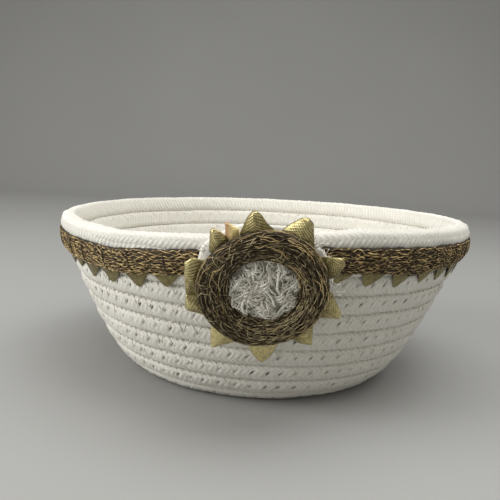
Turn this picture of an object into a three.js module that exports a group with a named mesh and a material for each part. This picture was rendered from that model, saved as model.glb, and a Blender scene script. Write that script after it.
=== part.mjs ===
// A bowl coiled from one rope, with a ribbon band, a pointed trim and a sewn flower.
// Millimetres, Z up. The bowl stands on z = 0 about the Z axis and its flower faces -Y.
import * as THREE from "three";

// Rope and the profile that it is coiled to, counted in turns of the rope.
const ROPE_PITCH = 8.0; // from one turn to the next: the rope's diameter
const ROPE_THICKNESS = 8.0; // through the wall
const TURN_GAP = 0.8; // left open between two turns
const ROPE_FLAT = 4.0; // width of the flat on the wall's inner and outer side
const BASE_CUT = 0.8; // taken off the underside so that the bowl stands flat
const BASE_TURNS = 6.25;
const WALL_TURNS = 9.5; // from the base's edge to the last pass of the front
const LEAN_LOW = 31; // degrees off vertical at the foot of the wall
const LEAN_DROP = 1.4; // degrees less with each turn up
const EDGE_TURNS = 0.8; // how fast the base's edge bends up
const STEPS_PER_TURN = 24;
const START_OFFSET = 1.0; // moves the rope's start onto the axis
const START_STRAIGHT = 1.7;
const START_FADE = 5; // turns over which the spiral becomes regular
const TAIL_STEPS = 2; // the rope's end, past the front and over the turn below
const TAPER_STEPS = 3.6;
const TAPER_SIZE = 0.12;

// Layers laid on the wall, each clear of the one below.
const CLEARANCE = 0.3;
const BAND_TOP = 0.8; // from the middle of the rim's rope, along the wall
const BAND_WIDTH = 9.8;
const BAND_THICKNESS = 0.6;
const BAND_START = 13; // degrees from the front, at both ends
const BAND_RISE = 4.4; // of its first end, where it follows the rope's end up
const BAND_RISE_SPAN = 23; // degrees over which the rise fades
const STRIP_STEPS = 72; // in a full turn
const TAPE_DROP = 1.0; // from the band's top edge to the tape's
const TAPE_WIDTH = 3.5;
const POINT_COUNT = 38;
const POINT_FIRST = 22.5; // degrees from the front
const POINT_LAST = 342.7;
const POINT_WIDTH = 12.0;
const POINT_SHOWS = 5.6; // below the band
const POINT_THICKNESS = 0.7;
const POINT_EDGE = 0.4; // thickness along its outline

// Flower, measured from its middle on a plane that leans with the wall. What is sewn to the backing keeps
// in proportion to it.
const FLOWER_UP = -8.4; // from the middle of the rim's rope at the front, along the wall
const FLOWER_LIFT = 1.0; // of the backing off the rope
const BACKING_RADIUS = 22.0;
const BACKING_THICKNESS = 2.4;
const PETAL_ANGLES = [95, 62, 17, -15, -52, -85, -117, -158, -191, -226]; // degrees, from +X
const PETAL_END_ANGLE = 114.5;
const PETAL_ROOT = 0.718 * BACKING_RADIUS;
const PETAL_TIPS = [1.23, 1.24, 1.2, 1.24, 1.28, 1.36, 1.31, 1.24, 1.2, 1.16]; // of the backing's radius
const PETAL_WIDTH = 0.4636 * BACKING_RADIUS;
const PETAL_THICKNESS = 2.6;
const PETAL_EDGE = 0.9;
const PETAL_END_TIP = 1.1364 * BACKING_RADIUS;
const PETAL_END_WIDTH = 0.1636 * BACKING_RADIUS;
const RING_OUTER = 0.9727 * BACKING_RADIUS;
const RING_INNER = 0.5 * BACKING_RADIUS;
const RING_THICKNESS = 5.0;
const TUFT_HEIGHT = 4.8;

const COTTON = new THREE.MeshStandardMaterial({ name: "cotton", color: 0xeae7df, roughness: 0.9 });
const NET = new THREE.MeshStandardMaterial({ name: "net", color: 0x5a4a34, roughness: 0.6 });
const GOLD = new THREE.MeshStandardMaterial({ name: "gold_trim", color: 0xb09a58, roughness: 0.45 });
const COPPER = new THREE.MeshStandardMaterial({ name: "copper_trim", color: 0xb4804e, roughness: 0.45 });

const RADIANS = Math.PI / 180;
const FRONT_TURN = BASE_TURNS + WALL_TURNS;
const HALF_TURN_WIDTH = (ROPE_PITCH - TURN_GAP) / 2;
const HALF_THICKNESS = ROPE_THICKNESS / 2;
const POINT_LIFT = HALF_THICKNESS + CLEARANCE;
const BAND_LIFT = POINT_LIFT + POINT_THICKNESS + CLEARANCE;

// Lean of the wall off vertical, in radians: flat over the base, then easing to the wall's own lean.
function leanAt(turn) {
  const climbed = turn - BASE_TURNS;
  if (climbed <= 0) return Math.PI / 2;
  const wall = LEAN_LOW - LEAN_DROP * climbed;
  return (wall + (90 - LEAN_LOW) * Math.exp(-climbed / EDGE_TURNS)) * RADIANS;
}

// Radius and height of the rope's middle, summed along the lean once and looked up afterwards.
const PROFILE_STEP = 1 / 96;
const profile = [{ radius: ROPE_PITCH * (BASE_TURNS + 0.25), height: HALF_THICKNESS - BASE_CUT }];
for (let i = 0; i * PROFILE_STEP < WALL_TURNS + 2; i += 1) {
  const lean = leanAt(BASE_TURNS + (i + 0.5) * PROFILE_STEP);
  const last = profile[i];
  const rise = ROPE_PITCH * PROFILE_STEP;
  profile.push({
    radius: last.radius + rise * Math.sin(lean),
    height: last.height + rise * Math.cos(lean),
  });
}

function profileAt(turn) {
  if (turn <= BASE_TURNS) return { radius: ROPE_PITCH * (turn + 0.25), height: profile[0].height };
  const place = (turn - BASE_TURNS) / PROFILE_STEP;
  const i = Math.floor(place);
  const part = place - i;
  const [low, high] = [profile[i], profile[i + 1]];
  return {
    radius: low.radius + part * (high.radius - low.radius),
    height: low.height + part * (high.height - low.height),
  };
}

// Point on the wall: at a turn up the profile, an angle from the front and a lift off the rope's middle.
// The angle runs clockwise seen from above, as the rope does.
function wallPoint(turn, angle, lift) {
  const { radius, height } = profileAt(turn);
  const lean = leanAt(turn);
  const out = radius + lift * Math.cos(lean);
  const low = height - lift * Math.sin(lean);
  return new THREE.Vector3(-out * Math.sin(angle), -out * Math.cos(angle), low);
}

// Closed mesh from points and triangles that already face out.
function meshOf(name, points, faces, material) {
  const geometry = new THREE.BufferGeometry();
  const places = points.flatMap((p) => p.toArray());
  geometry.setAttribute("position", new THREE.Float32BufferAttribute(places, 3));
  geometry.setIndex(faces.flat());
  const mesh = new THREE.Mesh(geometry, material);
  mesh.name = name;
  return mesh;
}

// Tube over a row of rings with the same number of points, closed at both ends.
function tubeMesh(name, rings, material) {
  const count = rings[0].length;
  const faces = [];
  for (let i = 0; i + 1 < rings.length; i += 1) {
    for (let j = 0; j < count; j += 1) {
      const a = i * count + j;
      const b = i * count + ((j + 1) % count);
      faces.push([a, b, a + count], [b, b + count, a + count]);
    }
  }
  const end = (rings.length - 1) * count;
  for (let j = 1; j + 1 < count; j += 1) faces.push([0, j + 1, j], [end, end + j, end + j + 1]);
  return meshOf(name, rings.flat(), faces, material);
}

// Middle of the rope on the base near its start: half circles about two centres in turn, which keep the
// start on the axis, fading into the regular spiral.
function startPoint(turn) {
  const crossing = (half) => {
    const shift = START_OFFSET * Math.max(0, 1 - Math.floor(half / 2) / (START_FADE + 1));
    const regular = ROPE_PITCH * (half / 2 + 0.25);
    return half % 2 === 0 ? shift - regular : shift + regular;
  };
  const half = Math.max(0, Math.floor(2 * turn + 1e-9));
  const middle = (crossing(half) + crossing(half + 1)) / 2;
  const radius = Math.abs(crossing(half) - crossing(half + 1)) / 2;
  const angle = Math.PI - 2 * Math.PI * turn;
  const regular = ROPE_PITCH * (turn + 0.25);
  const part = THREE.MathUtils.clamp(1 - (turn - 1) / START_FADE, 0, 1);
  const x = part * (middle + radius * Math.cos(angle)) + (1 - part) * regular * Math.cos(angle);
  const y = (part * radius + (1 - part) * regular) * Math.sin(angle);
  const spin = 2 * Math.PI * FRONT_TURN - 1.5 * Math.PI;
  return new THREE.Vector3(
    x * Math.cos(spin) - y * Math.sin(spin),
    x * Math.sin(spin) + y * Math.cos(spin),
    profile[0].height,
  );
}

function ropePoint(turn) {
  if (turn < BASE_TURNS) return startPoint(turn);
  return wallPoint(turn, 2 * Math.PI * (turn - FRONT_TURN), 0);
}

// Six-sided section of the rope, across the wall's height and through its thickness.
const ROPE_SECTION = [
  [HALF_TURN_WIDTH, 0],
  [ROPE_FLAT / 2, -HALF_THICKNESS],
  [-ROPE_FLAT / 2, -HALF_THICKNESS],
  [-HALF_TURN_WIDTH, 0],
  [-ROPE_FLAT / 2, HALF_THICKNESS],
  [ROPE_FLAT / 2, HALF_THICKNESS],
];

// One ring of the rope: the section stands square to the run, leans with the wall and is cut at z = 0.
function ropeRing(turn) {
  const left = (FRONT_TURN - turn) * STEPS_PER_TURN + TAIL_STEPS;
  const thin = THREE.MathUtils.clamp(1 - left / TAPER_STEPS, 0, 1);
  const size = 1 - (1 - TAPER_SIZE) * thin;
  const place = Math.max(turn, 0);
  const middle = ropePoint(place);
  const heading = ropePoint(place + 1e-4).sub(middle).setZ(0).normalize();
  if (turn < 0) middle.addScaledVector(heading, -START_STRAIGHT);
  const lean = leanAt(place);
  const outward = new THREE.Vector3(-heading.y, heading.x, 0);
  const along = outward.clone().multiplyScalar(Math.sin(lean)).setZ(Math.cos(lean));
  const off = outward.clone().multiplyScalar(Math.cos(lean)).setZ(-Math.sin(lean));
  middle.addScaledVector(along, -(1 - size) * HALF_TURN_WIDTH);
  return ROPE_SECTION.map(([across, through]) => {
    const point = middle.clone().addScaledVector(along, across * size).addScaledVector(off, through * size);
    return point.setZ(Math.max(point.z, 0));
  });
}

function ropeCoil() {
  const count = Math.round(FRONT_TURN * STEPS_PER_TURN) + TAIL_STEPS;
  const rings = [ropeRing(-1)];
  for (let i = 0; i <= count; i += 1) rings.push(ropeRing(i / STEPS_PER_TURN));
  return rings;
}

// Least distance between points of the rope that lie more than half a turn apart along it.
function leastGap(rings) {
  let least = Infinity;
  rings.forEach((ring, i) => {
    for (let k = i + STEPS_PER_TURN / 2 + 2; k < rings.length; k += 1) {
      for (const a of ring) {
        for (const b of rings[k]) least = Math.min(least, a.distanceTo(b));
      }
    }
  });
  return least;
}

// Turn of the wall at a distance above the middle of the rim's rope, following the band's rise.
function rimTurn(angle, above) {
  const faded = (angle / RADIANS - BAND_START) / BAND_RISE_SPAN;
  const rise = BAND_RISE * Math.max(0, 1 - faded);
  return FRONT_TURN - 1 + angle / (2 * Math.PI) + (above + rise) / ROPE_PITCH;
}

// Strip on the wall that follows the rim, with square edges: top edge and width along the wall, lift and
// thickness off it.
function rimStrip(top, width, lift, thickness) {
  const start = BAND_START * RADIANS;
  const step = (2 * Math.PI) / STRIP_STEPS;
  const angles = [start];
  const end = 2 * Math.PI - start;
  for (let i = Math.floor(start / step) + 1; i * step < end; i += 1) angles.push(i * step);
  angles.push(end);
  return angles.map((angle) => {
    const high = rimTurn(angle, top);
    const low = rimTurn(angle, top - width);
    return [
      wallPoint(high, angle, lift),
      wallPoint(low, angle, lift),
      wallPoint(low, angle, lift + thickness),
      wallPoint(high, angle, lift + thickness),
    ];
  });
}

// Left halves of two leaf outlines, as parts of the leaf's width and length, from the root to the tip.
const POINT_OUTLINE = [[-0.5, 0], [-0.44, 0.3], [-0.28, 0.68], [-0.11, 0.94], [0, 1]];
const PETAL_OUTLINE = [[-0.34, 0], [-0.5, 0.45], [-0.36, 0.76], [-0.15, 0.95], [0, 1]];

// Leaf from a root line to a rounded tip, thin at its outline and swollen in the middle from a stated part
// of its length on. Its plane is a place on the root line, the way to the tip, the way across and out.
function leafMesh(name, plane, half, swollenFrom, sizes, material) {
  const { length, width, edge, swell } = sizes;
  const otherHalf = half.slice(0, -1).reverse();
  const outline = [...half, ...otherHalf.map(([across, along]) => [-across, along])];
  const place = (across, along, out) =>
    plane.root
      .clone()
      .addScaledVector(plane.across, across * width)
      .addScaledVector(plane.tip, along * length)
      .addScaledVector(plane.out, out);
  const count = outline.length;
  const swollenLength = 0.84 - swollenFrom;
  const inner = outline.map(([across, along]) => [across * 0.55, swollenFrom + along * swollenLength]);
  const points = [
    ...outline.map(([across, along]) => place(across, along, 0)),
    ...outline.map(([across, along]) => place(across, along, edge)),
    ...inner.map(([across, along]) => place(across, along, swell)),
  ];
  const faces = [];
  for (let j = 0; j < count; j += 1) {
    const k = (j + 1) % count;
    for (const ring of [0, count]) {
      const [a, b] = [ring + j, ring + k];
      faces.push([a, a + count, b], [b, a + count, b + count]);
    }
  }
  for (let j = 1; j + 1 < count; j += 1) {
    faces.push([0, j, j + 1], [2 * count, 2 * count + j + 1, 2 * count + j]);
  }
  return meshOf(name, points, faces, material);
}

function trimPoint(index) {
  const spacing = (POINT_LAST - POINT_FIRST) / (POINT_COUNT - 1);
  const angle = (POINT_FIRST + spacing * index) * RADIANS;
  const rootLine = BAND_TOP - TAPE_DROP - TAPE_WIDTH - CLEARANCE;
  const tipLine = BAND_TOP - BAND_WIDTH - POINT_SHOWS;
  const onRootLine = (at, lift) => wallPoint(rimTurn(at, rootLine), at, lift);
  const root = onRootLine(angle, POINT_LIFT);
  const out = onRootLine(angle, POINT_LIFT + 1).sub(root);
  const across = onRootLine(angle + 0.01, POINT_LIFT).sub(onRootLine(angle - 0.01, POINT_LIFT));
  across.projectOnPlane(out).normalize();
  const plane = { root, tip: new THREE.Vector3().crossVectors(out, across), across, out };
  const name = `trim_point_${String(index + 1).padStart(2, "0")}`;
  const length = rootLine - tipLine;
  const sizes = { length, width: POINT_WIDTH, edge: POINT_EDGE, swell: POINT_THICKNESS };
  return leafMesh(name, plane, POINT_OUTLINE, 0.06, sizes, GOLD);
}

// The flower's own plane: right, up the wall and out from it, from the middle of its back.
const flowerTurn = FRONT_TURN - 0.5 + FLOWER_UP / ROPE_PITCH;
const flowerLean = leanAt(flowerTurn);
const FLOWER_MIDDLE = wallPoint(flowerTurn, 0, HALF_THICKNESS + FLOWER_LIFT);
const FLOWER_RIGHT = new THREE.Vector3(1, 0, 0);
const FLOWER_TOP = new THREE.Vector3(0, -Math.sin(flowerLean), Math.cos(flowerLean));
const FLOWER_OUT = new THREE.Vector3(0, -Math.cos(flowerLean), -Math.sin(flowerLean));

// Turned piece on the flower's axis, from a profile of radius and height that starts and ends on the axis
// or closes on itself.
function turnedMesh(name, outline, segments, material) {
  const geometry = new THREE.LatheGeometry(outline.map(([r, h]) => new THREE.Vector2(r, h)), segments);
  geometry.deleteAttribute("normal");
  geometry.deleteAttribute("uv");
  const frame = new THREE.Matrix4().makeBasis(FLOWER_RIGHT, FLOWER_OUT, FLOWER_TOP.clone().negate());
  geometry.applyMatrix4(frame.setPosition(FLOWER_MIDDLE));
  const mesh = new THREE.Mesh(geometry, material);
  mesh.name = name;
  return mesh;
}

const PETAL_BACK = BACKING_THICKNESS + CLEARANCE;
const RING_BACK = PETAL_BACK + PETAL_EDGE + 2.5 * CLEARANCE;

function flowerPetal(name, degrees, tipRadius, width, thickness, material) {
  const angle = degrees * RADIANS;
  const tip = FLOWER_RIGHT.clone().multiplyScalar(Math.cos(angle));
  tip.addScaledVector(FLOWER_TOP, Math.sin(angle));
  const across = new THREE.Vector3().crossVectors(tip, FLOWER_OUT).normalize();
  const root = FLOWER_MIDDLE.clone().addScaledVector(tip, PETAL_ROOT);
  root.addScaledVector(FLOWER_OUT, PETAL_BACK);
  const plane = { root, tip, across, out: FLOWER_OUT };
  const sizes = { length: tipRadius - PETAL_ROOT, width, edge: PETAL_EDGE, swell: thickness };
  return leafMesh(name, plane, PETAL_OUTLINE, 0.56, sizes, material);
}

function flowerRing() {
  const middle = (RING_OUTER + RING_INNER) / 2;
  const half = (RING_OUTER - RING_INNER) / 2;
  const outline = [];
  for (let i = 0; i <= 10; i += 1) {
    const angle = -(i % 10) * 36 * RADIANS;
    outline.push([
      middle + half * Math.cos(angle),
      RING_BACK + (RING_THICKNESS / 2) * (1 + Math.sin(angle)),
    ]);
  }
  return turnedMesh("flower_ring", outline.reverse(), 28, NET);
}

function flowerCentre() {
  const radius = RING_INNER - CLEARANCE - 0.2;
  const low = BACKING_THICKNESS + CLEARANCE;
  const outline = [
    [0, low],
    [radius, low],
    [radius, low + 0.5 * TUFT_HEIGHT],
    [0.78 * radius, low + 0.84 * TUFT_HEIGHT],
    [0.4 * radius, low + TUFT_HEIGHT],
    [0, low + TUFT_HEIGHT],
  ];
  return turnedMesh("flower_centre", outline, 20, COTTON);
}

const backingOutline = [
  [0, 0],
  [BACKING_RADIUS, 0],
  [BACKING_RADIUS, BACKING_THICKNESS],
  [0, BACKING_THICKNESS],
];
const bandRings = rimStrip(BAND_TOP, BAND_WIDTH, BAND_LIFT, BAND_THICKNESS);
const tapeRings = rimStrip(BAND_TOP - TAPE_DROP, TAPE_WIDTH, POINT_LIFT, POINT_THICKNESS);
const endThickness = PETAL_EDGE + 0.4;

const ropeRings = ropeCoil();
console.log(`rope_coil least gap to itself ${leastGap(ropeRings).toFixed(2)} mm`);

const bowl = new THREE.Group();
bowl.name = "rope_bowl";
bowl.add(tubeMesh("rope_coil", ropeRings, COTTON));
bowl.add(tubeMesh("band_ribbon", bandRings, NET));
bowl.add(tubeMesh("trim_tape", tapeRings, GOLD));
for (let i = 0; i < POINT_COUNT; i += 1) bowl.add(trimPoint(i));
bowl.add(turnedMesh("flower_backing", backingOutline, 32, COTTON));
PETAL_ANGLES.forEach((degrees, i) => {
  const name = `flower_petal_${String(i + 1).padStart(2, "0")}`;
  const tipRadius = PETAL_TIPS[i] * BACKING_RADIUS;
  bowl.add(flowerPetal(name, degrees, tipRadius, PETAL_WIDTH, PETAL_THICKNESS, GOLD));
});
bowl.add(
  flowerPetal("flower_petal_end", PETAL_END_ANGLE, PETAL_END_TIP, PETAL_END_WIDTH, endThickness, COPPER),
);
bowl.add(flowerRing());
bowl.add(flowerCentre());

export default bowl;
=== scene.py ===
"""A bowl coiled from cotton rope, with a net ribbon band, hanging gold points and a sewn flower.

Shapes are worked out in millimetres in the bowl's own frame and become metres when a mesh is made.
"""
import math

import bpy
import numpy as np
from mathutils import Matrix, Vector


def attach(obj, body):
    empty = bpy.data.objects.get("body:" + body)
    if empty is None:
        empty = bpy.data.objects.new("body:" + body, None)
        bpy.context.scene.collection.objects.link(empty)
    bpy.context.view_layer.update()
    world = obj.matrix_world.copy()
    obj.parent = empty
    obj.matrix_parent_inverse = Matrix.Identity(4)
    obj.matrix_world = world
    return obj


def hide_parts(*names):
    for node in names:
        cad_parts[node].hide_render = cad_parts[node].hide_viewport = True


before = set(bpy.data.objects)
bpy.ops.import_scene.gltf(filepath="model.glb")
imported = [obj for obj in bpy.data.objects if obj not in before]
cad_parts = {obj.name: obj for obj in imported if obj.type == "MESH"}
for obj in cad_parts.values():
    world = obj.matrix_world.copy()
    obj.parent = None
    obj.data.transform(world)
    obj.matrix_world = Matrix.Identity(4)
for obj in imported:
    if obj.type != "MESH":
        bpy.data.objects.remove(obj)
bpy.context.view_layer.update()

MM = 0.001
TAU = 2 * np.pi
UP = np.array([0, 0, 1])

# The wall that the rope is coiled to, as in the part's source. Leans and the rope's end are in degrees.
PITCH = 8.0
START_TURN = 0.25
START_OFFSET, START_FADE = 1.0, 5.0
BASE_TURNS = 6.25
FRONT_TURN = 15.75
END_DEGREES, TAPER_DEGREES = 44.0, 64.0
END_TURN = FRONT_TURN + END_DEGREES / 360
BASE_RADIUS = PITCH * (BASE_TURNS + START_TURN)
BASE_HEIGHT = 3.2
LEAN_LOW, LEAN_DROP, EDGE_TURNS = 31.0, 1.4, 0.8
PROFILE_STEP, PROFILE_SPARE = 1 / 96, 3.0

# Layers on the wall, by their lift off the middle of the rope.
POINT_LIFT = 3.5
BAND_LIFT = 3.85
BAND_TOP, BAND_WIDTH = -0.1, 10.0
BAND_START, BAND_RISE, BAND_RISE_SPAN = 13.0, 4.4, 23.0
POINT_COUNT, POINT_FIRST, POINT_LAST = 38, 22.5, 342.7
POINT_WIDTH, POINT_ROOT, POINT_TIP = 13.2, -6.0, -15.3

# The flower, from the middle of its back on a plane that leans with the wall.
FLOWER_TURN, FLOWER_LIFT = 14.2, 5.0
BACKING_RADIUS, BACKING_THICKNESS = 22.0, 2.4
PETAL_BACK = 2.7
RING_OUTER, RING_INNER, RING_BACK, RING_THICKNESS = 20.3, 11.5, 4.35, 5.0


def lean_at(turn):
    """Lean off vertical in radians: flat over the base, then 31 degrees less 1.4 a turn, with the base's
    edge bending up exponentially over 0.8 of a turn."""
    climbed = np.asarray(turn, float) - BASE_TURNS
    wall = LEAN_LOW - LEAN_DROP * climbed
    wall = wall + (90 - LEAN_LOW) * np.exp(-np.maximum(climbed, 0) / EDGE_TURNS)
    return np.radians(np.where(climbed <= 0, 90.0, wall))


PROFILE_TURNS = np.arange(BASE_TURNS, FRONT_TURN + PROFILE_SPARE, PROFILE_STEP)
PROFILE_LEANS = lean_at(PROFILE_TURNS[:-1] + PROFILE_STEP / 2)
PROFILE_RADII = BASE_RADIUS + np.append(0, np.cumsum(PITCH * PROFILE_STEP * np.sin(PROFILE_LEANS)))
PROFILE_HEIGHTS = BASE_HEIGHT + np.append(0, np.cumsum(PITCH * PROFILE_STEP * np.cos(PROFILE_LEANS)))


def on_wall(turn, angle, lift):
    """Point on the wall at a turn up its profile, an angle from the front, clockwise seen from above, and
    a lift off the rope's middle along the wall's outward normal."""
    turn, angle, lift = np.broadcast_arrays(*(np.asarray(x, float) for x in (turn, angle, lift)))
    lean = lean_at(turn)
    flat = turn <= BASE_TURNS
    radius = np.where(flat, PITCH * (turn + START_TURN), np.interp(turn, PROFILE_TURNS, PROFILE_RADII))
    height = np.where(flat, BASE_HEIGHT, np.interp(turn, PROFILE_TURNS, PROFILE_HEIGHTS))
    out = radius + lift * np.cos(lean)
    return np.stack([-out * np.sin(angle), -out * np.cos(angle), height - lift * np.sin(lean)], -1)


def start_line(turn):
    """Middle of the rope near its start: half circles about two centres in turn, which fade into the
    regular spiral over five turns."""
    half = np.maximum(0, np.floor(2 * turn + 1e-9))

    def crossing(count):
        shift = START_OFFSET * np.maximum(0, 1 - np.floor(count / 2) / (START_FADE + 1))
        regular = PITCH * (count / 2 + START_TURN)
        return np.where(count % 2 == 0, shift - regular, shift + regular)

    middle = (crossing(half) + crossing(half + 1)) / 2
    radius = np.abs(crossing(half) - crossing(half + 1)) / 2
    angle = np.pi - TAU * turn
    regular = PITCH * (turn + START_TURN)
    part = np.clip(1 - (turn - 1) / START_FADE, 0, 1)
    x = part * (middle + radius * np.cos(angle)) + (1 - part) * regular * np.cos(angle)
    y = (part * radius + (1 - part) * regular) * np.sin(angle)
    spin = TAU * FRONT_TURN - 1.5 * np.pi
    ahead, aside = np.cos(spin), np.sin(spin)
    return np.stack([x * ahead - y * aside, x * aside + y * ahead, np.full_like(x, BASE_HEIGHT)], -1)


def rope_line(turn):
    """Middle of the rope: the start's half circles over the base, then the wall's spiral."""
    turn = np.asarray(turn, float)
    spiral = on_wall(turn, TAU * (turn - FRONT_TURN), 0)
    return np.where((turn < BASE_TURNS)[..., None], start_line(turn), spiral)


def unit(vectors):
    """Vectors scaled to length 1."""
    return vectors / np.maximum(np.linalg.norm(vectors, axis=-1, keepdims=True), 1e-12)


def run_along(line):
    """Length of a line of points from its start to each point."""
    return np.append(0, np.cumsum(np.linalg.norm(np.diff(line, axis=0), axis=1)))


RIPPLE_GAIN = 1.4


def ripple(places, lengths, draw):
    """Smooth uneven wave about 0: the mean of sines of the given lengths with drawn phases, times 1.4, so
    that it mostly stays between -1 and 1."""
    waves = [np.sin(TAU * (places / length + draw.random())) for length in lengths]
    return np.mean(waves, axis=0) * RIPPLE_GAIN


# Mesh building.

BAKE_MARGIN = 0.04


def tube_faces(tubes, count, sides, closed):
    """Faces of tubes with a number of rings of points each: quads round each tube and, unless the tubes are
    closed hoops, one face across each end. Each corner comes with the number of its span between two rings,
    0 or 1 for the span's start or end, and its side."""
    spans = count if closed else count - 1
    numbers = np.meshgrid(np.arange(tubes), np.arange(spans), np.arange(sides), indexing="ij")
    t, i, j = (number[..., None] for number in numbers)
    ahead, aside = np.array([0, 0, 1, 1]), np.array([0, 1, 1, 0])
    quads = (t * count + (i + ahead) % count) * sides + (j + aside) % sides
    corners = np.stack(np.broadcast_arrays(t * spans + i, ahead, j + aside), -1)
    faces, places = [quads.reshape(-1, 4)], [corners.reshape(-1, 3)]
    if not closed:
        tube, side = np.arange(tubes)[:, None], np.arange(sides)
        first = np.broadcast_arrays(tube * spans, 0, side[::-1])
        last = np.broadcast_arrays(tube * spans + spans - 1, 1, side)
        ends = [tube * count * sides + side[::-1], ((tube + 1) * count - 1) * sides + side]
        faces.append(np.concatenate(ends))
        places.append(np.stack([np.concatenate(pair) for pair in zip(first, last)], -1).reshape(-1, 3))
    return faces, np.concatenate(places)


def rings_along(paths, up, across, through, sides=4):
    """Rings of an oval section carried along paths, an array of paths by points, with the section's height
    on the given up directions."""
    heading = unit(np.gradient(paths, axis=1))
    aside = unit(np.cross(heading, up))
    above = np.cross(aside, heading)
    turn = TAU * np.arange(sides) / sides
    across = np.broadcast_to(np.asarray(across, float), paths.shape[:2])[..., None, None]
    through = np.broadcast_to(np.asarray(through, float), paths.shape[:2])[..., None, None]
    round_it = through * np.cos(turn)[:, None] * above[..., None, :]
    round_it = round_it + across * np.sin(turn)[:, None] * aside[..., None, :]
    return paths[..., None, :] + round_it


def placed(name, data):
    """New object with the given data, in the scene."""
    made = bpy.data.objects.new(name, data)
    bpy.context.scene.collection.objects.link(made)
    return made


def add_piece(name, rings, skin, replaced=(), scale=(1, 1), values=None, closed=False):
    """Mesh object of tubes from their rings in millimetres, smooth but for the faces across their ends. Its
    UV map "run" holds each corner's place along and round its tube times a scale, and its map "OFBake" lays
    all spans out in rows without overlaps. Each of the values becomes a point attribute."""
    rings = rings.reshape(-1, *rings.shape[-3:])
    tubes, count, sides = rings.shape[:3]
    faces, corners = tube_faces(tubes, count, sides, closed)
    mesh = bpy.data.meshes.new(name)
    mesh.vertices.add(tubes * count * sides)
    mesh.vertices.foreach_set("co", (rings * MM).astype(np.float32).ravel())
    sizes = np.concatenate([np.full(len(f), f.shape[1]) for f in faces])
    mesh.loops.add(len(corners))
    mesh.loops.foreach_set("vertex_index", np.concatenate([f.ravel() for f in faces]).astype(np.int32))
    mesh.polygons.add(len(sizes))
    mesh.polygons.foreach_set("loop_start", np.append(0, np.cumsum(sizes)[:-1]).astype(np.int32))
    mesh.polygons.foreach_set("use_smooth", np.arange(len(sizes)) < len(faces[0]))
    spans = count if closed else count - 1
    span, ahead, side = corners.T
    run = np.stack([(span % spans + ahead) * scale[0], side * scale[1]], -1)
    length = np.linalg.norm(np.diff(rings, axis=1), axis=-1).mean()
    girth = np.linalg.norm(rings - np.roll(rings, 1, 2), axis=-1).sum(-1).mean()
    rows = max(1, round(math.sqrt(tubes * spans * length / girth)))
    in_row = math.ceil(tubes * spans / rows)
    height = span // in_row + BAKE_MARGIN + (1 - 2 * BAKE_MARGIN) * side / sides
    bake = np.stack([(span % in_row + ahead) / in_row, height / rows], -1)
    for key, places in (("run", run), ("OFBake", bake)):
        mesh.uv_layers.new(name=key).uv.foreach_set("vector", places.astype(np.float32).ravel())
    for key, numbers in (values or {}).items():
        attribute = mesh.attributes.new(key, "FLOAT", "POINT")
        attribute.data.foreach_set("value", np.asarray(numbers, np.float32).ravel())
    mesh.update(calc_edges=True)
    mesh.materials.append(skin)
    piece = placed(name, mesh)
    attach(piece, "root")
    if replaced:
        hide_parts(*replaced)
    return piece


def lifted(surface, first, second, lift):
    """Points on a surface, a function of two places and a lift, and the way up there for 1 mm more lift."""
    points = surface(first, second, lift)
    return points, surface(first, second, lift + 1) - points


def add_threads(name, lines, section, skin, scale, shade=None, sides=4):
    """Piece made of threads, from their lines, which are paths and the ways up there, and their half widths
    across and through. A shade belongs to a whole thread or to each point of its line."""
    paths, ups = lines
    rings = rings_along(paths, np.broadcast_to(ups, paths.shape), *section, sides)
    values = None
    if shade is not None:
        values = {"shade": np.broadcast_to(np.asarray(shade)[..., None], rings.shape[:-1])}
    return add_piece(name, rings, skin, (), scale, values)


# Finishes.


class Wire:
    """One shader socket. Arithmetic on wires adds Math nodes, and node() adds a node of any other kind."""

    def __init__(self, tree, socket=None):
        self.tree = tree
        self.socket = socket

    def node(self, kind, settings=None, sockets=None, output=0):
        """Adds a node, its settings first and then the values or wires of its sockets; gives one output."""
        made = self.tree.nodes.new("ShaderNode" + kind)
        for key, value in (settings or {}).items():
            setattr(made, key, value)
        for key, value in (sockets or {}).items():
            if isinstance(value, Wire):
                self.tree.links.new(value.socket, made.inputs[key])
            else:
                made.inputs[key].default_value = value
        return Wire(self.tree, made.outputs[output])

    def maths(self, operation, first, second):
        """Adds a Math node on two values or wires."""
        return self.node("Math", {"operation": operation}, {0: first, 1: second})

    def __add__(self, other):
        return self.maths("ADD", self, other)

    def __sub__(self, other):
        return self.maths("SUBTRACT", self, other)

    def __rsub__(self, other):
        return self.maths("SUBTRACT", other, self)

    def __mul__(self, other):
        return self.maths("MULTIPLY", self, other)

    __radd__, __rmul__ = __add__, __mul__

    def held(self):
        """The value kept between 0 and 1."""
        return self.node("Clamp", None, {0: self})

    def tint(self, dark, light):
        """Colour from dark to light as the value goes from 0 to 1."""
        return self.node("Mix", {"data_type": "RGBA"}, {0: self, 6: dark, 7: light}, output=2)


def finish(name, **numbers):
    """New material with one Principled shader, whose plain numbers are set on its own sockets. Gives the
    material, the shader's sockets and a wire to start from."""
    skin = bpy.data.materials.new(name)
    skin.use_nodes = True
    shader = skin.node_tree.nodes["Principled BSDF"]
    for key, value in numbers.items():
        shader.inputs[key.replace("_", " ")].default_value = value
    return skin, shader.inputs, Wire(skin.node_tree)


def feed(value, socket):
    """Links a wire to a shader's socket."""
    value.tree.links.new(value.socket, socket)


def colour(red, green, blue):
    """Opaque colour."""
    return (red, green, blue, 1.0)


def noted(start, name):
    """Value of a point attribute of the mesh."""
    return start.node("Attribute", {"attribute_name": name}, output=2)


def object_place(start):
    """Place in the object's own frame, in metres."""
    return start.node("TexCoord", output=3)


def speckle(start, place, scale, detail=2.0):
    """Noise between 0 and 1 at a scale per unit of the place."""
    return start.node("TexNoise", None, {"Vector": place, "Scale": scale, "Detail": detail})


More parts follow.
